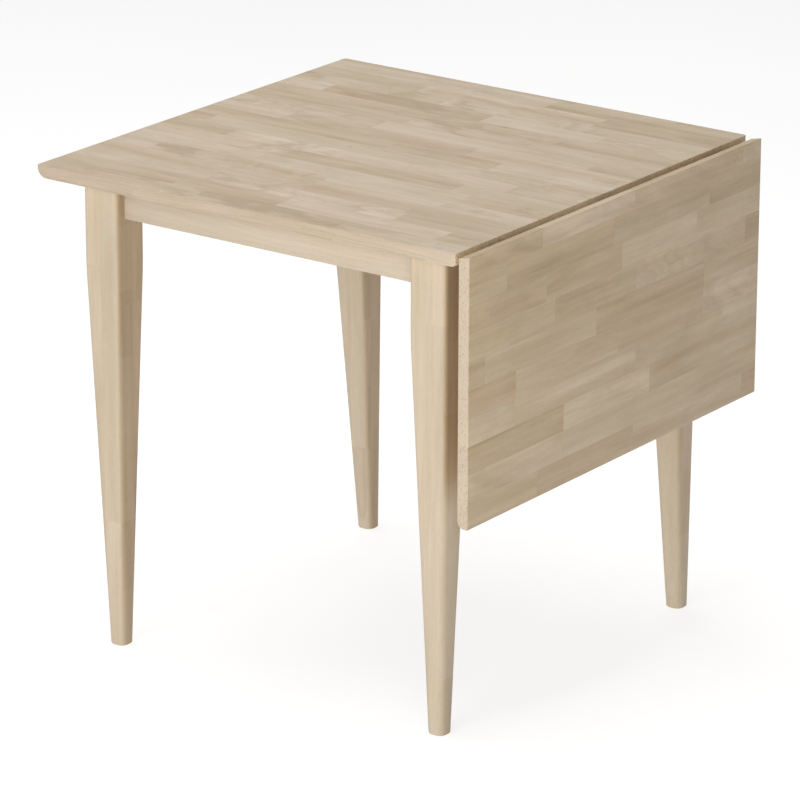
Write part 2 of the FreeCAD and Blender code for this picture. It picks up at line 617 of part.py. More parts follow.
qx = {"left": ap_l + at_, "hinge": ap_h - at_}
QX = {"left": "(%s+apron_thick)" % XOUTL, "hinge": "(%s-apron_thick)" % XOUTH}
QY = "(%s-apron_thick)" % YOUT
lip = L - D["apron_recess"] - at_                       # leg's inner face past the apron's
near, far = 2 * lip + bg * s2_, 2 * lip + (bg + bt) * s2_
NEAR = "(2*(leg_size-apron_recess-apron_thick)+block_gap*sqrt(2))"
FAR = "(2*(leg_size-apron_recess-apron_thick)+(block_gap+block_thick)*sqrt(2))"
bolts, washers, nuts, block_screws = [], [], [], []
for side in ("left", "hinge"):
    for end, sy in (("front", -1), ("back", 1)):
        sx = -1 if side == "left" else 1
        name = "Block_%s_%s" % (end, side)
        body = doc.addObject("PartDesign::Body", name)

        def pt_(a, A, b, B):
            return ((qx[side] - sx * a, "%s-%d*(%s)" % (QX[side], sx, A)),
                    (sy * (QO - b), "%d*(%s-%s)" % (sy, QY, B)))
        s = poly_sketch(body, name + "_plan", "XY_Plane", "block_base", [
            pt_(near, NEAR, 0, "0"), pt_(far, FAR, 0, "0"), pt_(0, "0", far, FAR), pt_(0, "0", near, NEAR)])
        pad = body.newObject("PartDesign::Pad", name + "_pad")
        pad.Profile = s
        bind(pad, "Length", "block_height")
        body.Tip = pad
        diag = Rotation(V(0, 0, 1), V(-sx, -sy, 0))
        tools = [cyl(name + "_bolt", "bolt_rad+0.5", "block_thick+20", "%s-%d*(%s)/2+%d*10/sqrt(2)" % (QX[side], sx, NEAR, sx),
                     "%d*(%s-%s/2)+%d*10/sqrt(2)" % (sy, QY, NEAR, sy), "bolt_level", diag)]
        X1, Y1 = "(%s-%d*block_screw)" % (QX[side], sx), "(%d*(%s-block_screw))" % (sy, QY)
        axx, axy = ("-x" if sx > 0 else "x"), ("-y" if sy > 0 else "y")
        tools.append(cyl(name + "_s1", "screw_rad+0.15", "block_seat+2", X1, "%d*(%s+1)" % (sy, QY), "bolt_level", axy))
        tools.append(cyl(name + "_c1", "head_rad+0.7", "40", X1, "%d*(%s-block_seat)" % (sy, QY), "bolt_level", axy))
        tools.append(cyl(name + "_s2", "screw_rad+0.15", "block_seat+2", "%s+%d*1" % (QX[side], sx), Y1, "bolt_level", axx))
        tools.append(cyl(name + "_c2", "head_rad+0.7", "40", "%s-%d*block_seat" % (QX[side], sx), Y1, "bolt_level", axx))
        node(cut(name + "_bored", body, tools), "corner_block_%s_%s" % (end, side))
        c0 = V(qx[side] - sx * lip, sy * (QO - lip), bolt_z)          # leg's inner corner
        out = V(-sx, -sy, 0).normalize()
        rot = Rotation(V(0, 0, 1), out)
        bolts.append(Placement(c0, rot))
        washers.append(Placement(c0 + out * (bg + bt), rot))
        nuts.append(Placement(c0 + out * (bg + bt + D["washer_thick"]), rot))
        xs, ys = qx[side] - sx * D["block_screw"], sy * (QO - D["block_screw"])
        block_screws.append(Placement(V(xs, sy * (QO - D["block_seat"]), bolt_z), Rotation(V(0, 0, 1), V(0, -sy, 0))))
        block_screws.append(Placement(V(qx[side] - sx * D["block_seat"], ys, bolt_z), Rotation(V(0, 0, 1), V(-sx, 0, 0))))
doc.recompute()


# --------------------------------------------------- fasteners, made as groups
def turned(name, pts):
    """A turned piece: half profile (radius, height) with words for each."""
    body = doc.addObject("PartDesign::Body", name)
    s = poly_sketch(body, name + "_half", "XZ_Plane", None, pts)
    rev = body.newObject("PartDesign::Revolution", name + "_turn")
    rev.Profile = s
    rev.ReferenceAxis = (s, ["V_Axis"])
    rev.Angle = 360
    body.Tip = rev
    return body


def screw(name, length):
    """Pan head screw along Z: the head stands on Z=0, the point is down."""
    r_, hr, ht = D["screw_rad"], D["head_rad"], D["head_thick"]
    b = turned(name, [((0.0, "0"), (ht, "head_thick")), ((hr * 0.62, "head_rad*0.62"), (ht, "head_thick")),
                      ((hr, "head_rad"), (ht * 0.45, "head_thick*0.45")), ((hr, "head_rad"), (0.0, "0")),
                      ((r_, "screw_rad"), (0.0, "0")), ((r_, "screw_rad"), (-(length - 4.0), "-%g" % (length - 4.0))),
                      ((0.0, "0"), (-length, "-%g" % length))])
    return b


def group(label, base, places, tool=None):
    """The same piece at several places, as one node."""
    links = []
    for k, p in enumerate(places):
        o = doc.addObject("App::Link", "%s_%d" % (label, k + 1))
        o.LinkedObject = base
        o.LinkTransform = False
        o.Placement = p
        links.append(o)
    c = doc.addObject("Part::Compound", label + "_group")
    c.Links = links
    return node(c, label)


SCREW16 = screw("Screw16", 16.0)
SCREW14 = screw("Screw14", 14.0)
SCREW28 = screw("Screw28", 28.0)
recess = {}
for b in (SCREW16, SCREW14, SCREW28):
    k1 = box(b.Name + "_slot1", "head_rad*1.1", "0.9", "1.4", "-head_rad*0.55", "-0.45", "head_thick-1.2")
    k2 = box(b.Name + "_slot2", "0.9", "head_rad*1.1", "1.4", "-0.45", "-head_rad*0.55", "head_thick-1.2")
    recess[b.Name] = cut(b.Name + "_driven", b, [k1, k2])
S16, S14, S28 = recess["Screw16"], recess["Screw14"], recess["Screw28"]

group("block_screws", S28, block_screws)
br, bd, bp = D["bolt_rad"], D["bolt_deep"], D["bolt_proud"]
reach = bg + bt + bp
group("hanger_bolts", turned("HangerBolt", [
    ((0.0, "0"), (reach, "block_gap+block_thick+bolt_proud")),
    ((br - 1, "bolt_rad-1"), (reach, "block_gap+block_thick+bolt_proud")),
    ((br, "bolt_rad"), (reach - 1, "block_gap+block_thick+bolt_proud-1")),
    ((br, "bolt_rad"), (-bd + 6, "-bolt_deep+6")), ((0.0, "0"), (-bd, "-bolt_deep"))]), bolts)
wr, wt = D["washer_rad"], D["washer_thick"]
group("washers", turned("Washer", [
    ((br + 0.3, "bolt_rad+0.3"), (0.0, "0")), ((wr, "washer_rad"), (0.0, "0")),
    ((wr, "washer_rad"), (wt, "washer_thick")), ((br + 0.3, "bolt_rad+0.3"), (wt, "washer_thick"))]), washers)
prism = doc.addObject("Part::Prism", "NutBlank")
prism.Polygon = 6
bind(prism, "Circumradius", "nut_flats/sqrt(3)")
bind(prism, "Height", "nut_thick")
group("nuts", cut("Nut", prism, [cyl("NutBore", "bolt_rad+fit_gap", "nut_thick+2", "0", "0", "-1")]), nuts)
dowel_places = []
for sx_, lx in ((-1, in_l), (1, in_h)):
    for sy in (-1, 1):
        dowel_places.append(Placement(V(lx, sy * (ap_y - at_ / 2), dr), Rotation(V(0, 0, 1), V(1, 0, 0))))
        dowel_places.append(Placement(V(ap_l + at_ / 2 if sx_ < 0 else ap_h - at_ / 2, sy * inner_y, dr),
                                      Rotation(V(0, 0, 1), V(0, 1, 0))))
dd = D["dowel_rad"]
group("dowels", turned("Dowel", [
    ((0.0, "0"), (-dl / 2, "-dowel_length/2")), ((dd - 1, "dowel_rad-1"), (-dl / 2, "-dowel_length/2")),
    ((dd, "dowel_rad"), (-dl / 2 + 1, "-dowel_length/2+1")), ((dd, "dowel_rad"), (dl / 2 - 1, "dowel_length/2-1")),
    ((dd - 1, "dowel_rad-1"), (dl / 2, "dowel_length/2")), ((0.0, "0"), (dl / 2, "dowel_length/2"))]), dowel_places)

# Angle brackets between the aprons and the top.
u1_ = box("AngleUp", "bracket_width", "plate_thick", "bracket_leg", "-bracket_width/2", "0", "-bracket_leg")
u2_ = box("AngleFlat", "bracket_width", "bracket_leg", "plate_thick", "-bracket_width/2", "0", "-plate_thick")
angle = cut("Angle", fuse("AngleBlank", [u1_, u2_]), [
    cyl("AngleHole1", "screw_rad+0.15", "6", "0", "20", "-4"),
    cyl("AngleHole2", "screw_rad+0.15", "6", "0", "-2", "-18", "y")])
doc.recompute()
soft = doc.addObject("Part::Fillet", "AngleSoft")
soft.Base = angle
soft.Edges = [(i + 1, 4.0, 4.0) for i, e in enumerate(angle.Shape.Edges)
              if abs(e.Length - pt) < 1e-6 and len(e.Vertexes) == 2 and e.Curve.TypeId == "Part::GeomLine"
              and (e.BoundBox.ZMin < -bl + 1e-6 or e.BoundBox.YMax > bl - 1e-6)]
group("top_brackets", soft, [br_place(b) for b in BR])
down = Rotation(V(0, 0, 1), V(0, 0, -1))
places = []
for b_, p, q in zip(BR, br_top, br_side):
    places.append(Placement(p + V(0, 0, -pt), down))
    n_ = Rotation(V(0, 0, 1), b_[2]).multVec(V(0, 1, 0))
    places.append(Placement(q + n_ * pt, Rotation(V(0, 0, 1), n_)))
group("bracket_screws", S16, places)
doc.recompute()

# -------------------------------------------------------------- leaf hinges
for k, y in enumerate(HY):
    Y = "(%d*hinge_spread)" % (k - 1)
    n_ = "Hinge%d" % (k + 1)
    tag = ("front", "middle", "back")[k]
    plate = box(n_ + "_t1", "hinge_inner-hinge_outer", "hinge_width", "plate_thick", X_AXIS + "-hinge_inner",
                Y + "-hinge_width/2", Z_UNDER + "-plate_thick")
    doc.recompute()
    soft = doc.addObject("Part::Fillet", n_ + "_t1s")
    soft.Base = plate
    soft.Edges = [(i + 1, 5.0, 5.0) for i, e in enumerate(plate.Shape.Edges)
                  if abs(e.BoundBox.ZLength - pt) < 1e-6 and e.BoundBox.XMax < xa - 40]
    parts_ = [soft,
              box(n_ + "_t2", "hinge_outer+0.5+neck_thick/2", "mid_knuckle", "plate_thick",
                  X_AXIS + "-hinge_outer-0.5", Y + "-mid_knuckle/2", Z_UNDER + "-plate_thick"),
              box(n_ + "_t3", "neck_thick", "mid_knuckle", "plate_thick+top_thick-axis_drop-3", X_AXIS + "-neck_thick/2",
                  Y + "-mid_knuckle/2", Z_UNDER + "-plate_thick"),
              cyl(n_ + "_t4", "knuckle_rad", "mid_knuckle", X_AXIS, Y + "-mid_knuckle/2", Z_AXIS, "y")]
    tools = [cyl(n_ + "_tb", "pin_rad+fit_gap", "mid_knuckle+4", X_AXIS, Y + "-mid_knuckle/2-2", Z_AXIS, "y")]
    for j, (a, b) in enumerate(HS_TOP):
        tools.append(cyl(n_ + "_th%d" % j, "screw_rad+0.15", "6", X_AXIS + "%+g" % a, Y + "%+g" % b,
                         Z_UNDER + "-plate_thick-2"))
    node(cut(n_ + "_top", fuse(n_ + "_tf", parts_), tools), "hinge_%s_top_plate" % tag)
    # leaf plate: on the leaf's underside, with a strap and knuckle at each side
    plate = box(n_ + "_l1", "plate_thick", "hinge_width", "hinge_inner+8-leaf_plate_near", X_INNER + "-plate_thick",
                Y + "-hinge_width/2", Z_AXIS + "-hinge_inner-8")
    doc.recompute()
    soft = doc.addObject("Part::Fillet", n_ + "_l1s")
    soft.Base = plate
    soft.Edges = [(i + 1, 5.0, 5.0) for i, e in enumerate(plate.Shape.Edges)
                  if abs(e.BoundBox.XLength - pt) < 1e-6 and e.BoundBox.ZMax < za - 40]
    parts_ = [soft]
    tools = [cyl(n_ + "_lb", "pin_rad+fit_gap", "hinge_width+4", X_AXIS, Y + "-hinge_width/2-2", Z_AXIS, "y")]
    for j, y0 in enumerate(("-hinge_width/2", "+mid_knuckle/2+knuckle_gap")):
        wide = "hinge_width/2-mid_knuckle/2-knuckle_gap"
        parts_.append(box(n_ + "_l2%d" % j, "plate_thick", wide, "leaf_plate_near+0.5+knuckle_rad/2",
                          X_INNER + "-plate_thick", Y + y0, Z_AXIS + "-leaf_plate_near-0.5"))
        parts_.append(box(n_ + "_l3%d" % j, "leaf_thick-leaf_reach+axis_out+plate_thick-3", wide, "knuckle_rad",
                          X_INNER + "-plate_thick", Y + y0, Z_AXIS + "-knuckle_rad/2"))
        parts_.append(cyl(n_ + "_l4%d" % j, "knuckle_rad", wide, X_AXIS, Y + y0, Z_AXIS, "y"))
    for j, (a, b) in enumerate(HS_LEAF):
        tools.append(cyl(n_ + "_lh%d" % j, "screw_rad+0.15", "6", X_INNER + "-plate_thick-2", Y + "%+g" % b,
                         Z_AXIS + "%+g" % a, "x"))
    node(cut(n_ + "_leaf", fuse(n_ + "_lf", parts_), tools), "hinge_%s_leaf_plate" % tag)
    node(cyl(n_ + "_pin", "pin_rad", "hinge_width", X_AXIS, Y + "-hinge_width/2", Z_AXIS, "y"),
         "hinge_%s_pin" % tag)
group("hinge_screws_top", S16, [Placement(V(xa + a, y + b, zu - pt), down) for y in HY for a, b in HS_TOP])
to_leaf = Rotation(V(0, 0, 1), V(-1, 0, 0))
group("hinge_screws_leaf", S14, [Placement(V(xi - pt, y + b, za + a), to_leaf) for y in HY for a, b in HS_LEAF])

# --------------------------------------------------------------- leaf stays
st = D["stay_thick"]
PX, PZ = X_AXIS + "-stay_in", Z_AXIS + "-stay_down"
px, pz = xa - c_, za - d_
hw = D["stay_width"] / 2
ue, ne = path(math.pi / 2)
nn = 40


def band(y, sy, near_words, thick_words):
    """Lower Y of a plate that starts this far from the stay's middle plane."""
    return "%d*(stay_spread+%s)%s" % (sy, near_words, "" if sy > 0 else "-(%s)" % thick_words)


for y in SY:
    sy = 1 if y > 0 else -1
    tag = "back" if sy > 0 else "front"
    n_ = "Stay_" + tag
    # bracket on the apron: flange and gusset plate with the pivot eye
    gus = doc.addObject("PartDesign::Body", n_ + "_gusset")
    off = "-(%s)" % ("%d*(stay_spread+stay_thick+stay_gap)" % sy)      # middle of the plate, on the sketch's normal
    s = poly_sketch(gus, n_ + "_gs", "XZ_Plane", off, [
        ((ap_h, XOUTH), (714.0, "714")), ((ap_h + 14, XOUTH + "+14"), (714.0, "714")),
        ((px + hw * 0.62, PX + "+stay_width/2*0.62"), (pz + hw * 0.78, PZ + "+stay_width/2*0.78")),
        ((px - hw * 0.2, PX + "-stay_width/2*0.2"), (pz - hw * 0.97, PZ + "-stay_width/2*0.97")),
        ((ap_h, XOUTH), (676.0, "676"))])
    pad = symmetric_pad(gus, n_ + "_gp", s, "stay_thick")
    gus.Tip = pad
    yw = band(y, sy, "stay_thick/2+stay_gap", "stay_thick")
    eye = cyl(n_ + "_eye", "stay_width/2", "stay_thick", PX, yw, PZ, "y")
    fl = box(n_ + "_fl", "flange_thick", "flange_width", "38", XOUTH,
             band(y, sy, "stay_thick/2+stay_gap", "flange_width"), "676")
    tools = [cyl(n_ + "_pb", "rivet_rad+fit_gap", "stay_thick+4", PX, yw + "-2", PZ, "y")]
    for h_ in B_SCREW:
        tools.append(cyl(n_ + "_bh%d" % int(h_), "screw_rad+0.15", "6", XOUTH + "-1",
                         "%d*(stay_spread+flange_line)" % sy, "%g" % h_, "x"))
    node(cut(n_ + "_bracket", fuse(n_ + "_bf", [gus, eye, fl]), tools), "stay_%s_bracket" % tag)
    # arm
    yw = "%d*stay_spread-stay_thick/2" % sy
    bar = fuse(n_ + "_bar", [
        box(n_ + "_a1", "stay_width", "stay_thick", "stay_length", PX + "-stay_width/2", yw, PZ + "-stay_length"),
        cyl(n_ + "_a2", "stay_width/2", "stay_thick", PX, yw, PZ, "y"),
        cyl(n_ + "_a3", "stay_width/2", "stay_thick", PX, yw, PZ + "-stay_length", "y")])
    node(cut(n_ + "_arm", bar, [
        cyl(n_ + "_a4", "rivet_rad+fit_gap", "stay_thick+4", PX, yw + "-2", PZ, "y"),
        cyl(n_ + "_a5", "rivet_rad+fit_gap", "stay_thick+4", PX, yw + "-2", PZ + "-stay_length", "y")]),
        "stay_%s_arm" % tag)
    # pivot rivet: fixed in the bracket, the arm turns on it

    def riveted(tag2, z_words, a, b):
        """Shank with a head at each end; a and b are the heads' near faces from the
        middle plane, along the outward direction."""
        aw, bw = "(%s)" % a, "(%s)" % b
        low, high = (aw, bw) if sy > 0 else ("(-%s)" % bw, "(-%s)" % aw)
        base = "%d*stay_spread+" % sy
        sh = cyl(tag2 + "_s", "rivet_rad", "%s-%s" % (high, low), PX, base + low, z_words, "y")
        h1 = cyl(tag2 + "_h1", "rivet_head", "rivet_head_thick", PX, base + low + "-rivet_head_thick", z_words, "y")
        h2 = cyl(tag2 + "_h2", "rivet_head", "rivet_head_thick", PX, base + high, z_words, "y")
        f_ = fuse(tag2 + "_f", [sh, h1, h2])
        doc.recompute()
        b_ = f_.Shape.BoundBox
        r_ = doc.addObject("Part::Fillet", tag2)
        r_.Base = f_
        r_.Edges = [(i + 1, 1.2, 1.2) for i, e in enumerate(f_.Shape.Edges)
                    if e.BoundBox.YLength < 1e-6 and abs(e.BoundBox.XLength - 2 * D["rivet_head"]) < 1e-2
                    and (abs(e.BoundBox.YMin - b_.YMin) < 1e-6 or abs(e.BoundBox.YMin - b_.YMax) < 1e-6)]
        return r_
    node(riveted(n_ + "_rivet", PZ, "-stay_thick/2-0.1", "stay_thick*1.5+stay_gap+0.05"), "stay_%s_pivot_rivet" % tag)
    node(riveted(n_ + "_slider", PZ + "-stay_length", "-stay_thick*1.5-stay_gap-0.3", "stay_thick/2+0.05"),
         "stay_%s_slide_pin" % tag)
    # slotted guide on the leaf
    gd = doc.addObject("PartDesign::Body", n_ + "_guide")
    off = "-(%s)" % ("%d*(stay_spread-stay_thick-stay_gap)" % sy)
    gh = D["guide_height"]
    s = poly_sketch(gd, n_ + "_ws", "XZ_Plane", off, [
        ((xi, X_INNER), (za - u0 + 14, Z_AXIS + "-%.4f" % (u0 - 14))),
        ((xa - gh, X_AXIS + "-guide_height"), (za - u0 + 14, Z_AXIS + "-%.4f" % (u0 - 14))),
        ((xa - gh, X_AXIS + "-guide_height"), (za - u1 - 14, Z_AXIS + "-%.4f" % (u1 + 14))),
        ((xi, X_INNER), (za - u1 - 14, Z_AXIS + "-%.4f" % (u1 + 14)))])
    pad = symmetric_pad(gd, n_ + "_wp", s, "stay_thick")
    doc.recompute()
    soft = fillet(gd, n_ + "_wf", pad, edges_where(
        pad.Shape, lambda e: e.BoundBox.XMax < xa - gh + 1e-3 and e.BoundBox.YLength > st - 1e-3), "10")
    s = sketch(gd, n_ + "_slot", "XZ_Plane", off)
    rr = D["rivet_rad"] + D["slot_gap"]
    ctr, lft, rgt = [], [], []
    for i in range(nn + 1):
        th = math.pi / 2 * i / nn
        u, n = path(th)
        h2 = 1e-4
        ua, na = path(th + h2)
        ub, nb = path(th - h2)
        tx, tz = -(na - nb), -(ua - ub)
        q = math.hypot(tx, tz)
        tx, tz = tx / q, tz / q
        x_, z_ = xa - n, za - u
        ctr.append((x_, z_, tx, tz))
        lft.append(V(x_ - tz * rr, z_ + tx * rr, 0))
        rgt.append(V(x_ + tz * rr, z_ - tx * rr, 0))
    bl_, br_ = Part.BSplineCurve(), Part.BSplineCurve()
    bl_.interpolate(lft)
    br_.interpolate(rgt)
    s.addGeometry(bl_)
    s.addGeometry(br_)
    for (x_, z_, tx, tz), a, b, sgn in ((ctr[0], lft[0], rgt[0], -1), (ctr[-1], lft[-1], rgt[-1], 1)):
        s.addGeometry(Part.Arc(a, V(x_ + sgn * tx * rr, z_ + sgn * tz * rr, 0), b))
    doc.recompute()
    slot = pocket(gd, n_ + "_slotcut", s, "stay_thick")
    slot.Midplane = True
    bind(slot, "Length", "stay_thick+4")
    doc.recompute()
    gd.Tip = slot
    ylo = "%d*(stay_spread-stay_thick/2-stay_gap)%s" % (sy, "-flange_width" if sy > 0 else "")
    fl = box(n_ + "_gf", "flange_thick", "flange_width", "%.4f" % (u1 - u0 + 28), X_INNER + "-flange_thick", ylo,
             Z_AXIS + "-%.4f" % (u1 + 14))
    seat = cyl(n_ + "_seat", "rivet_rad+slot_gap", "stay_thick+4", "%.4f" % (xa - ne - 0.956 * 3.4),
               "%d*(stay_spread-stay_thick-stay_gap)-stay_thick/2-2" % sy, "%.4f" % (za - ue - 0.294 * 3.4), "y")
    tools = [seat]
    for j, u in enumerate(G_SCREW):
        tools.append(cyl(n_ + "_gh%d" % j, "screw_rad+0.15", "6", X_INNER + "-flange_thick-2",
                         "%d*(stay_spread-flange_line)" % sy, Z_AXIS + "-%.4f" % u, "x"))
    node(cut(n_ + "_guided", fuse(n_ + "_gw", [gd, fl]), tools), "stay_%s_guide" % tag)
ft = D["flange_thick"]
to_apron = Rotation(V(0, 0, 1), V(1, 0, 0))
group("stay_screws_apron", S16, [Placement(V(ap_h + ft, (1 if y > 0 else -1) * (abs(y) + D["flange_line"]), h_), to_apron)
                                 for y in SY for h_ in B_SCREW])
group("stay_screws_leaf", S14, [Placement(V(xi - ft, (1 if y > 0 else -1) * (abs(y) - D["flange_line"]), za - u), to_leaf)
                                for y in SY for u in G_SCREW])
doc.recompute()

# ------------------------------------------------------------------- export
bad = [o.Name for o in doc.Objects if "Invalid" in o.State or "Error" in o.State]
if bad:
    raise RuntimeError("objects with errors: %s" % bad)
for o in NODES:
    if o.Shape.isNull() or not o.Shape.isValid() or not o.Shape.Solids:
        raise RuntimeError("bad shape: " + o.Label)
    o.Shape.exportStep("parts/%s.step" % o.Label)
    bb = o.Shape.BoundBox
    print("%-26s solids %2d  vol %10.1f  x %.2f..%.2f y %.2f..%.2f z %.2f..%.2f" % (
        o.Label, len(o.Shape.Solids), o.Shape.Volume, bb.XMin, bb.XMax, bb.YMin, bb.YMax, bb.ZMin, bb.ZMax))
print("nodes", len(NODES), "ratio %.6f" % ratio, "axis %.3f %.3f" % (xa, za), "pivot %.3f %.3f" % (px, pz))
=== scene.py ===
import math
import bpy
from mathutils import Matrix, Vector


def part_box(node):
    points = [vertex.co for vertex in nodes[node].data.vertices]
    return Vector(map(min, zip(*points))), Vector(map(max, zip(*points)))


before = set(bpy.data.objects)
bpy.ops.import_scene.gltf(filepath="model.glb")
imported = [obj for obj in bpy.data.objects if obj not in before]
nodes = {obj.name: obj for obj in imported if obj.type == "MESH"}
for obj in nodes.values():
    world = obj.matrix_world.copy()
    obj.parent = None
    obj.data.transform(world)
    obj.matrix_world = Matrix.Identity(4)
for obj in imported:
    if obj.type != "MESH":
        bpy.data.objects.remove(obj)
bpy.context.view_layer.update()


# --------------------------------------------------------------- node helpers
class Graph:
    """A material's node tree with short calls for its nodes."""

    def __init__(self, name):
        self.mat = bpy.data.materials.new(name)
        self.mat.use_nodes = True
        self.t = self.mat.node_tree
        self.t.nodes.clear()
        self.out = self.t.nodes.new("ShaderNodeOutputMaterial")
        self.bsdf = self.t.nodes.new("ShaderNodeBsdfPrincipled")
        self.t.links.new(self.bsdf.outputs[0], self.out.inputs["Surface"])

    def put(self, socket, value):
        if isinstance(value, bpy.types.NodeSocket):
            self.t.links.new(value, socket)
        elif value is not None:
            if hasattr(socket.default_value, "__len__") and not hasattr(value, "__len__"):
                value = [value] * len(socket.default_value)
            socket.default_value = value

    def math(self, op, a, b=None, c=None, clamp=False):
        n = self.t.nodes.new("ShaderNodeMath")
        n.operation = op
        n.use_clamp = clamp
        self.put(n.inputs[0], a)
        if b is not None:
            self.put(n.inputs[1], b)
        if c is not None:
            self.put(n.inputs[2], c)
        return n.outputs[0]

    def vec(self, x, y, z):
        n = self.t.nodes.new("ShaderNodeCombineXYZ")
        for s, v in zip(n.inputs, (x, y, z)):
            self.put(s, v)
        return n.outputs[0]

    def vadd(self, a, b):
        n = self.t.nodes.new("ShaderNodeVectorMath")
        n.operation = "ADD"
        self.put(n.inputs[0], a)
        self.put(n.inputs[1], b)
        return n.outputs[0]

    def split(self, v):
        n = self.t.nodes.new("ShaderNodeSeparateXYZ")
        self.put(n.inputs[0], v)
        return n.outputs[0], n.outputs[1], n.outputs[2]

    def place(self):
        n = self.t.nodes.new("ShaderNodeTexCoord")
        return n.outputs["Object"]

    def noise(self, v, scale=1.0, detail=3.0, rough=0.5, distort=0.0, w=None):
        n = self.t.nodes.new("ShaderNodeTexNoise")
        if w is not None:
            n.noise_dimensions = "1D"
            self.put(n.inputs["W"], w)
        else:
            n.noise_dimensions = "3D"
            self.put(n.inputs["Vector"], v)
        self.put(n.inputs["Scale"], scale)
        self.put(n.inputs["Detail"], detail)
        self.put(n.inputs["Roughness"], rough)
        self.put(n.inputs["Distortion"], distort)
        return n.outputs[0]

    def white(self, w):
        n = self.t.nodes.new("ShaderNodeTexWhiteNoise")
        n.noise_dimensions = "1D"
        self.put(n.inputs["W"], w)
        return n.outputs["Value"], n.outputs["Color"]

    def cells(self, w, feature="F1", rand=1.0):
        n = self.t.nodes.new("ShaderNodeTexVoronoi")
        n.voronoi_dimensions = "1D"
        n.feature = feature
        self.put(n.inputs["W"], w)
        self.put(n.inputs["Scale"], 1.0)
        self.put(n.inputs["Randomness"], rand)
        return n

    def ramp(self, fac, stops, mode="LINEAR"):
        n = self.t.nodes.new("ShaderNodeValToRGB")
        n.color_ramp.interpolation = mode
        e = n.color_ramp.elements
        while len(e) < len(stops):
            e.new(0.5)
        for k, (p, col) in enumerate(stops):
            e[k].position = p
            e[k].color = (*col, 1.0)
        self.put(n.inputs[0], fac)
        return n.outputs[0]

    def mix(self, fac, a, b, mode="MIX"):
        n = self.t.nodes.new("ShaderNodeMix")
        n.data_type = "RGBA"
        n.blend_type = mode
        self.put(n.inputs["Factor"], fac)
        self.put(n.inputs[6], a if isinstance(a, bpy.types.NodeSocket) else (*a, 1.0))
        self.put(n.inputs[7], b if isinstance(b, bpy.types.NodeSocket) else (*b, 1.0))
        return n.outputs[2]

    def scale_rgb(self, col, k):
        """A colour times a number."""
        n = self.t.nodes.new("ShaderNodeVectorMath")
        n.operation = "SCALE"
        self.put(n.inputs[0], col)
        self.put(n.inputs["Scale"], k)
        return n.outputs[0]

    def remap(self, v, a, b, c, d):
        n = self.t.nodes.new("ShaderNodeMapRange")
        self.put(n.inputs["Value"], v)
        for s, x in zip(("From Min", "From Max", "To Min", "To Max"), (a, b, c, d)):
            n.inputs[s].default_value = x
        return n.outputs[0]

    def bump(self, height, strength, distance):
        n = self.t.nodes.new("ShaderNodeBump")
        self.put(n.inputs["Height"], height)
        n.inputs["Strength"].default_value = strength
        n.inputs["Distance"].default_value = distance
        self.t.links.new(n.outputs[0], self.bsdf.inputs["Normal"])


def srgb(r, g, b):
    """Linear colour from 0-255 values."""
    def f(c):
        c /= 255.0
        return c / 12.92 if c <= 0.04045 else ((c + 0.055) / 1.055) ** 2.4
    return (f(r), f(g), f(b))


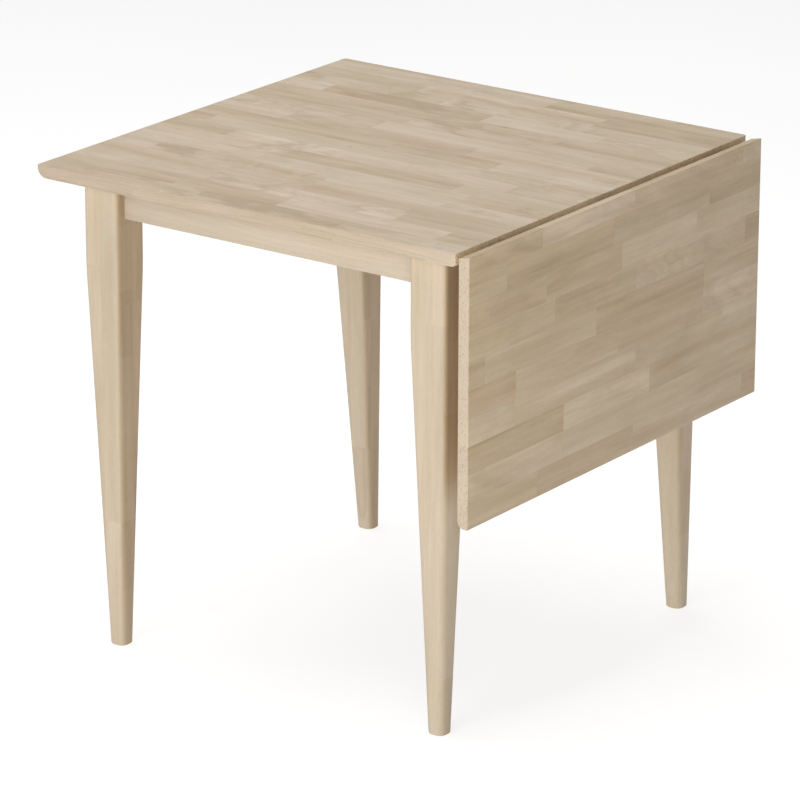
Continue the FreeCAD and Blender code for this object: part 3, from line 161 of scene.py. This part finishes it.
# -------------------------------------------------------------------- timber
def timber(name, axes, width, length, tones, seed=0.0, phase=0.0, gloss=0.56, depth=None,
           ring=0.05, streak=0.07, fine=0.05, joint=0.05, spread=0.62, origin=(0.0, 0.0, 0.0), end=None, side_shade_tint=None,
           wave=4.5, blocks=0.0, painted_shade_behind=None, end_plus_painted_light=None):
    """Solid pale hardwood laid up from staves.

    axes: which of x, y, z runs along the stave, across the row and through it.
    width, length, depth: stave sizes in metres. tones: ramp from palest to darkest.
    spread: how much whole staves differ. end: colour of the cut ends, end_plus_painted_light: of those at the far end
    of the stave axis, used as painted light that sets that end face lighter.
    wave: how much the growth rings waver. side_shade_tint: tint of the faces at the sides of the rows, partly the other
    cut through the board and mostly painted shade that sets those faces darker.
    blocks: tone steps between the short lengths that show on those faces.
    behind: painted shade on the + side face next to the other panel, where that panel shades it, with the height it
    fades in over.
    """
    g = Graph(name)
    tc = g.t.nodes.new("ShaderNodeTexCoord")
    co = g.split(tc.outputs["Object"])
    o = dict(zip("xyz", [g.math("SUBTRACT", c, s) for c, s in zip(co, origin)]))
    a, c, t = (o[k] for k in axes)
    cw = g.math("ADD", g.math("DIVIDE", c, width), phase + 40.0)
    row = g.math("FLOOR", cw)
    frac = g.math("SUBTRACT", cw, row)
    dr = g.math("MULTIPLY", g.math("MINIMUM", frac, g.math("SUBTRACT", 1.0, frac)), width)
    if depth:
        tw = g.math("ADD", g.math("DIVIDE", t, depth), 30.0)
        lay = g.math("FLOOR", tw)
        ft = g.math("SUBTRACT", tw, lay)
        dr = g.math("MINIMUM", dr, g.math("MULTIPLY", g.math("MINIMUM", ft, g.math("SUBTRACT", 1.0, ft)), depth))
        row = g.math("MULTIPLY_ADD", lay, 17.0, row)
    w = g.math("MULTIPLY_ADD", row, 7.31, g.math("ADD", g.math("DIVIDE", a, length), 50.0 + seed * 3.7))
    cell = g.cells(w)
    r1, r2, r3 = g.split(cell.outputs["Color"])
    edge = g.cells(w, "DISTANCE_TO_EDGE").outputs["Distance"]
    # butt joints between staves and glue lines between rows
    dj = g.math("MULTIPLY", edge, length)
    lines = g.remap(g.math("MINIMUM", dj, dr), 0.0, 0.0005, 1.0, 0.0)
    # each stave comes from another place in another board
    cl = g.math("MULTIPLY", g.math("SUBTRACT", frac, 0.5), width)
    slope = g.math("MULTIPLY", g.math("SUBTRACT", r2, 0.5), 0.20)
    c0 = g.math("SUBTRACT", cl, g.math("MULTIPLY", g.math("SUBTRACT", r3, 0.5), 0.06))
    lean = g.math("MULTIPLY_ADD", a, slope, g.math("MULTIPLY_ADD", r1, 0.05, g.math("ADD", t, 0.012)))
    off = g.vec(g.math("MULTIPLY", r1, 31.0), g.math("MULTIPLY", r2, 23.0), g.math("MULTIPLY", r3, 17.0))

    def fibre(ka, kc, detail, rough, distort=0.0):
        return g.noise(g.vadd(g.vec(g.math("MULTIPLY", a, ka), g.math("MULTIPLY", c, kc), g.math("MULTIPLY", t, kc)), off),
                       1.0, detail, rough, distort)

    wob = fibre(7.0, 26.0, 3.0, 0.55)
    rad = g.math("SQRT", g.math("ADD", g.math("MULTIPLY", c0, c0), g.math("MULTIPLY", lean, lean)))
    rings = g.noise(None, 1.0, 2.5, 0.62, w=g.math(
        "ADD", g.math("MULTIPLY_ADD", rad, 230.0, g.math("MULTIPLY", r2, 90.0)), g.math("MULTIPLY", wob, wave)))
    plain = g.remap(r3, 0.35, 0.75, 0.45, 1.5)                # how strongly a stave is figured
    long_ = fibre(2.0, 52.0, 4.0, 0.62, 0.2)
    wide = fibre(4.5, 34.0, 3.0, 0.55, 0.4)
    hair = fibre(24.0, 850.0, 3.0, 0.6)
    ripple = fibre(75.0, 420.0, 2.0, 0.55, 0.6)
    pore = fibre(150.0, 1400.0, 1.0, 0.4)
    pores = g.remap(pore, 0.66, 0.75, 0.0, 1.0)
    n = len(tones)
    nx, ny, nz = g.split(tc.outputs["Normal"])
    turned = dict(zip("xyz", (nx, ny, nz)))
    lies = g.remap(g.math("ABSOLUTE", turned[axes[1]]), 0.55, 0.92, 0.0, 1.0)
    base = g.math("MULTIPLY_ADD", g.math("SUBTRACT", r1, 0.5), spread, 0.42)
    if blocks:
        w2 = g.math("MULTIPLY_ADD", lay, 9.77, g.math("ADD", g.math("DIVIDE", a, 0.105), 80.0 + seed * 5.3))
        short = g.math("SUBTRACT", g.split(g.cells(w2).outputs["Color"])[0], 0.5)
        base = g.math("MULTIPLY_ADD", g.math("MULTIPLY", short, lies), blocks, base)
    tone_at = g.math("MULTIPLY_ADD", g.math("SUBTRACT", wide, 0.5), 1.25,
                     g.math("MULTIPLY_ADD", g.math("SUBTRACT", long_, 0.5), 0.55, base), clamp=True)
    col = g.ramp(tone_at, [(k / (n - 1), tones[k]) for k in range(n)])
    k1 = g.math("MULTIPLY_ADD", g.math("MULTIPLY", g.math("SUBTRACT", rings, 0.5), plain), -ring * 4, 1.0)
    k2 = g.math("MULTIPLY_ADD", g.math("SUBTRACT", long_, 0.5), -streak * 2.5, 1.0)
    k3 = g.math("MULTIPLY_ADD", g.math("SUBTRACT", hair, 0.5), fine * 3, 1.0)
    k6 = g.math("MULTIPLY_ADD", g.math("SUBTRACT", ripple, 0.5), fine * 2, 1.0)
    k4 = g.math("MULTIPLY_ADD", pores, -0.14, 1.0)
    k5 = g.math("MULTIPLY_ADD", lines, -joint, 1.0)
    k = g.math("MULTIPLY", g.math("MULTIPLY", g.math("MULTIPLY", k1, k2), g.math("MULTIPLY", k3, k4)), g.math("MULTIPLY", k5, k6))
    # denser growth is a little redder
    warm = g.mix(g.math("MULTIPLY", g.remap(rings, 0.45, 0.75, 0.0, min(0.35, ring * 7)), plain, clamp=True), col, tones[-1])
    rosy = g.mix(r2, (1.012, 0.994, 0.988), (0.990, 1.003, 0.986))
    face = g.scale_rgb(g.mix(1.0, warm, rosy, "MULTIPLY"), k)
    if end:
        # cut ends: pale, close speckle with sparse dark vessels
        # painted shade: the faces at the sides of the rows are multiplied by a darker tint
        if side_shade_tint:
            face = g.mix(1.0, face, g.mix(lies, (1.0, 1.0, 1.0), side_shade_tint), "MULTIPLY")
        # painted shade: the + side face is tinted darker above a height, where the other panel shades it
        if painted_shade_behind:
            z0, z1, tint = painted_shade_behind
            shade_mask = g.math("MULTIPLY", g.remap(turned[axes[1]], 0.55, 0.92, 0.0, 1.0), g.remap(co[2], z0, z1, 0.0, 1.0))
            face = g.mix(1.0, face, g.mix(shade_mask, (1.0, 1.0, 1.0), tint), "MULTIPLY")
        across = g.remap(g.math("ABSOLUTE", turned[axes[0]]), 0.75, 0.92, 0.0, 1.0)
        spk = g.noise(g.vadd(g.vec(g.math("MULTIPLY", a, 60.0), g.math("MULTIPLY", c, 420.0), g.math("MULTIPLY", t, 420.0)), off), 1.0, 3.0, 0.6)
        ves = g.noise(g.vadd(g.vec(g.math("MULTIPLY", a, 50.0), g.math("MULTIPLY", c, 260.0), g.math("MULTIPLY", t, 900.0)), off), 1.0, 1.0, 0.4)
        ke = g.math("MULTIPLY_ADD", g.math("SUBTRACT", spk, 0.5), 0.20,
                    g.math("MULTIPLY_ADD", g.remap(ves, 0.60, 0.66, 0.0, 1.0), -0.34,
                           g.math("MULTIPLY_ADD", g.math("SUBTRACT", rings, 0.5), -0.10,
                                  g.math("MULTIPLY_ADD", g.math("SUBTRACT", r1, 0.5), -0.06, 1.0))))
        # painted light: the cut end at the far end of the stave axis can take a lighter colour
        cut = g.mix(g.remap(turned[axes[0]], -0.1, 0.1, 0.0, 1.0), end, end_plus_painted_light) if end_plus_painted_light else end
        face = g.mix(across, face, g.scale_rgb(cut, ke))
    g.put(g.bsdf.inputs["Base Color"], face)
    g.put(g.bsdf.inputs["Roughness"], g.remap(hair, 0.3, 0.7, gloss + 0.06, gloss - 0.05))
    g.bsdf.inputs["Specular IOR Level"].default_value = 0.35
    h = g.math("SUBTRACT", g.math("MULTIPLY_ADD", hair, 0.6, g.math("MULTIPLY_ADD", ripple, 0.4, g.math("MULTIPLY", rings, 0.25))),
               g.math("MULTIPLY_ADD", pores, 0.5, g.math("MULTIPLY", lines, 0.5)))
    g.bump(h, 0.30, 0.00025)
    return g.mat


# --------------------------------------------------------------------- metal
def plated(name, colour, brushed=False, rough=0.34, seed=0.0):
    """Zinc-plated steel: faint crystalline spangle, fine scratches, dull spots."""
    g = Graph(name)
    p = g.place()
    x, y, z = g.split(p)
    spangle = g.noise(p, 260.0, 3.0, 0.55)
    cloud = g.noise(p, 45.0, 3.0, 0.6)
    hairs = g.noise(g.vec(g.math("MULTIPLY", x, 1400.0), g.math("MULTIPLY", y, 60.0), g.math("MULTIPLY", z, 1400.0)),
                    1.0, 3.0, 0.6)
    m = g.math("ADD", g.math("MULTIPLY", spangle, 0.5), g.math("MULTIPLY", cloud, 0.5))
    col = g.ramp(m, [(0.3, tuple(c * 0.78 for c in colour)), (0.55, colour), (0.8, tuple(min(1, c * 1.12) for c in colour))])
    g.put(g.bsdf.inputs["Base Color"], col)
    g.bsdf.inputs["Metallic"].default_value = 1.0
    g.put(g.bsdf.inputs["Roughness"], g.remap(g.math("MULTIPLY_ADD", hairs, 0.5, g.math("MULTIPLY", cloud, 0.5)),
                                              0.25, 0.75, rough - 0.08, rough + 0.12))
    g.bump(g.math("MULTIPLY_ADD", hairs, 0.5, g.math("MULTIPLY", spangle, 0.5)), 0.15, 0.0001)
    return g.mat


def paint(node, mat):
    me = nodes[node].data
    me.materials.clear()
    me.materials.append(mat)


# Stave tones, pinkish cream to tan.
TOP = [srgb(201, 187, 170), srgb(194, 179, 159), srgb(187, 171, 149), srgb(175, 156, 130)]
LEAF = [srgb(207, 189, 165), srgb(198, 179, 152), srgb(190, 168, 139), srgb(175, 152, 122)]
LEG = [srgb(204, 190, 169), srgb(200, 185, 163), srgb(195, 179, 155), srgb(187, 170, 144)]
LEG_PALE = [srgb(199, 187, 167), srgb(195, 181, 161), srgb(190, 176, 153), srgb(182, 167, 143)]
APRON = [srgb(191, 180, 162), srgb(187, 175, 156), srgb(181, 168, 146), srgb(174, 159, 136)]
BLK = [srgb(200, 180, 148), srgb(192, 170, 136), srgb(182, 158, 122)]

ENDS = srgb(203, 186, 164)
LEAF_ENDS = srgb(190, 174, 154)
paint("table_top", timber("TopStaves", "xyz", 0.0412, 0.30, TOP, seed=3.0, phase=0.16, spread=0.6, end=ENDS,
                          # on the top: a lighter colour on the hinge-side end as painted light, and a darker tint on
                          # the front and back edges as painted shade
                          end_plus_painted_light=srgb(230, 212, 184), side_shade_tint=(0.915, 0.892, 0.865)))
# the leaf's top edge beside the main top carries painted shade from the main top
paint("drop_leaf", timber("LeafStaves", "yzx", 0.0412, 0.27, LEAF, seed=11.0, phase=0.52, end=LEAF_ENDS,
                          ring=0.028, streak=0.12, spread=0.62, wave=2.6, painted_shade_behind=(0.5, 0.6, (0.925, 0.94, 0.935))))
for k, (n, ax) in enumerate((("apron_front", "xzy"), ("apron_back", "xzy"), ("apron_left", "yzx"), ("apron_hinge", "yzx"))):
    b0, b1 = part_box(n)
    mid = [(p + q) / 2 for p, q in zip(b0, b1)]
    paint(n, timber("Apron%d" % (k + 1), ax, 0.9, 6.0, APRON, seed=20.0 + 7 * k, phase=0.5, origin=mid,
                    ring=0.012, streak=0.10, fine=0.05, joint=0.0))
for k, n in enumerate(("leg_front_left", "leg_back_left", "leg_front_hinge", "leg_back_hinge")):
    b0, b1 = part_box(n)
    mid = [(p + q) / 2 for p, q in zip(b0, b1)]
    paint(n, timber("Leg%d" % (k + 1), "zxy", 0.0330, 0.62, LEG_PALE if n == "leg_front_hinge" else LEG, seed=40.0 + 9 * k,
                    phase=0.04, depth=0.0330, origin=mid,
                    ring=0.010, streak=0.11, fine=0.05, joint=0.02, spread=0.22, end=ENDS, blocks=0.52,
                    # painted shade on the legs' side faces: strong and brown on the left legs under the table, mild on
                    # the hinge legs
                    side_shade_tint=(0.78, 0.71, 0.64) if "left" in n else (0.93, 0.90, 0.87),
                    # hinge legs: warm painted shade on the upper + side, behind the hanging leaf
                    painted_shade_behind=None if "left" in n else (0.33, 0.41, (0.95, 0.86, 0.76))))
for k, n in enumerate(n for n in nodes if n.startswith("corner_block")):
    b0, b1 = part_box(n)
    mid = [(p + q) / 2 for p, q in zip(b0, b1)]
    paint(n, timber("Block%d" % (k + 1), "xyz", 0.5, 4.0, BLK, seed=70.0 + 5 * k, phase=0.5, origin=mid, joint=0.0))
paint("dowels", timber("DowelBeech", "xyz", 0.5, 4.0, BLK, seed=90.0, phase=0.5, joint=0.0))

hinge = plated("HingeZinc", (0.62, 0.62, 0.60))
stay = plated("StayZinc", (0.60, 0.60, 0.60), rough=0.38)
screwm = plated("ScrewZinc", (0.66, 0.60, 0.46), rough=0.30)
bolt = plated("BoltZinc", (0.60, 0.61, 0.63), rough=0.36)
for n in nodes:
    if "screws" in n:
        paint(n, screwm)
    elif n.startswith("hinge"):
        paint(n, hinge)
    elif n.startswith("stay"):
        paint(n, stay)
    elif n == "top_brackets":
        paint(n, hinge)
    elif n in ("hanger_bolts", "washers", "nuts"):
        paint(n, bolt)

# --------------------------------------------------------------------- floor
bpy.ops.mesh.primitive_plane_add(size=60.0, location=(0, 0, -0.0005))
floor = bpy.context.object
floor.name = "floor"
g = Graph("PaleFloor")
v = g.noise(g.place(), 0.8, 2.0, 0.5)
g.put(g.bsdf.inputs["Base Color"], g.ramp(v, [(0.3, (0.355, 0.355, 0.355)), (0.7, (0.385, 0.385, 0.385))]))
g.bsdf.inputs["Roughness"].default_value = 0.9
g.bsdf.inputs["Specular IOR Level"].default_value = 0.0
g.bsdf.inputs["Emission Color"].default_value = (1.0, 1.0, 1.0, 1.0)
g.bsdf.inputs["Emission Strength"].default_value = 0.76
floor.data.materials.append(g.mat)


# -------------------------------------------------------------------- lights
def area(name, loc, target, size, power, colour=(1, 1, 1)):
    d = bpy.data.lights.new(name, "AREA")
    d.shape = "RECTANGLE"
    d.size, d.size_y = size
    d.energy = power
    d.color = colour
    o = bpy.data.objects.new(name, d)
    bpy.context.scene.collection.objects.link(o)
    o.location = loc
    o.rotation_euler = (Vector(target) - Vector(loc)).to_track_quat("-Z", "Y").to_euler()
    return o


area("key", (0.1, -5.0, 1.9), (0, 0, 0.4), (2.6, 2.6), 109.0, (1.0, 0.985, 0.975))
area("sky", (-0.7, 0.1, 4.3), (-0.2, 0, 0.7), (3.2, 3.2), 137.0, (1.0, 0.995, 0.985))
area("side", (1.0, -1.25, 0.75), (0.38, -0.3, 0.5), (0.8, 0.8), 5.3, (1.0, 0.94, 0.84))
world = bpy.data.worlds.new("studio")
bpy.context.scene.world = world
world.use_nodes = True
bg = world.node_tree.nodes["Background"]
bg.inputs[0].default_value = (1.0, 1.0, 1.0, 1.0)
bg.inputs[1].default_value = 0.17

scene = bpy.context.scene
scene.view_settings.view_transform = "Standard"
scene.view_settings.look = "None"
scene.view_settings.exposure = 0.0
scene.view_settings.gamma = 1.0

# -------------------------------------------------------------------- camera
AZ, EL, ROLL = math.radians(36.049), math.radians(18.869), math.radians(0.150)
CAM = Vector((4.064347, -5.589249, 2.722927))
FOCAL_PX = 4857.261
fwd = Vector((-math.sin(AZ) * math.cos(EL), math.cos(AZ) * math.cos(EL), -math.sin(EL)))
right = Vector((math.cos(AZ), math.sin(AZ), 0.0))
up = right.cross(fwd)
r2 = right * math.cos(ROLL) + up * math.sin(ROLL)
u2 = -right * math.sin(ROLL) + up * math.cos(ROLL)
cam = bpy.data.cameras.new("camera")
cam.sensor_fit = "HORIZONTAL"
cam.sensor_width = 36.0
cam.lens = FOCAL_PX / 800.0 * 36.0
cam.clip_start = 0.1
cam.clip_end = 100.0
co = bpy.data.objects.new("camera", cam)
scene.collection.objects.link(co)
m = Matrix((r2, u2, -fwd)).transposed().to_4x4()
m.translation = CAM
co.matrix_world = m
scene.camera = co
